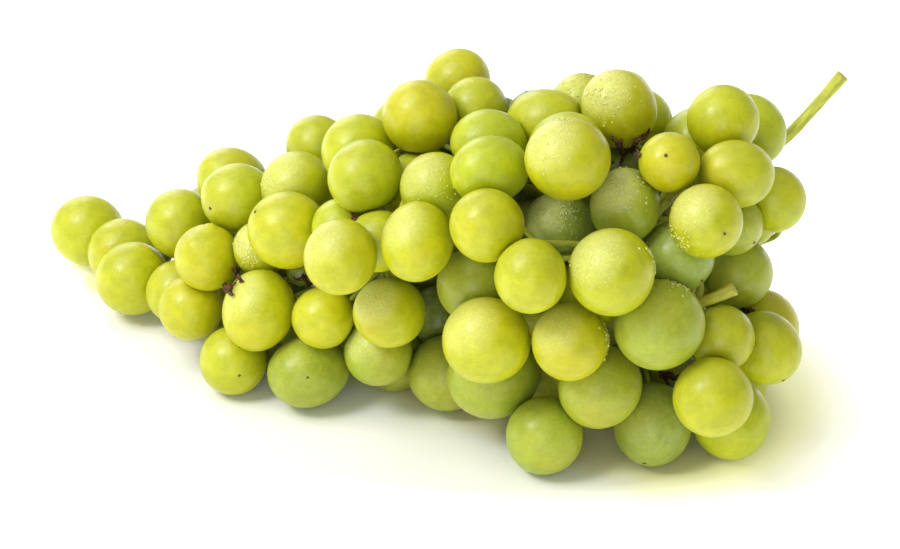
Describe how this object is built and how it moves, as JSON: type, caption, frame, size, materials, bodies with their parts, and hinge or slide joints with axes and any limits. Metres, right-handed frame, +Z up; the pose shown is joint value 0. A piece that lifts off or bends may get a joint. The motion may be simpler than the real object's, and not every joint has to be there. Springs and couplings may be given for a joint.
{
  "type": "bunch of grapes",
  "caption": "Conical bunch of round green table grapes lying on its side, berries in sprays on a branching green stem with a bare cut end",
  "frame": {"origin": "middle of the bunch's bounding box in plan, on the surface that it lies on", "axes": "+X from the tip of the bunch to the bare end of its stem, +Z up"},
  "size_m": [0.2125, 0.1034, 0.0889],
  "materials": {
    "stem": "fresh green plant stem, matt, with a pale waxy sheen",
    "skin_green": "smooth thin green grape skin with a faint waxy bloom",
    "skin_lime": "smooth thin yellow-green grape skin with a faint waxy bloom",
    "skin_yellow": "smooth thin lime-yellow grape skin with a faint waxy bloom"
  },
  "bodies": {
    "root": {"stem": "stem", "spray_01": "skin_green", "spray_02": "skin_green", "spray_03": "skin_green", "spray_04": "skin_lime", "spray_05": "skin_green", "spray_06": "skin_green", "spray_07": "skin_yellow", "spray_08": "skin_green", "spray_09": "skin_lime", "spray_10": "skin_yellow", "spray_11": "skin_lime", "spray_12": "skin_yellow", "spray_13": "skin_lime"}
  },
  "joints": []
}
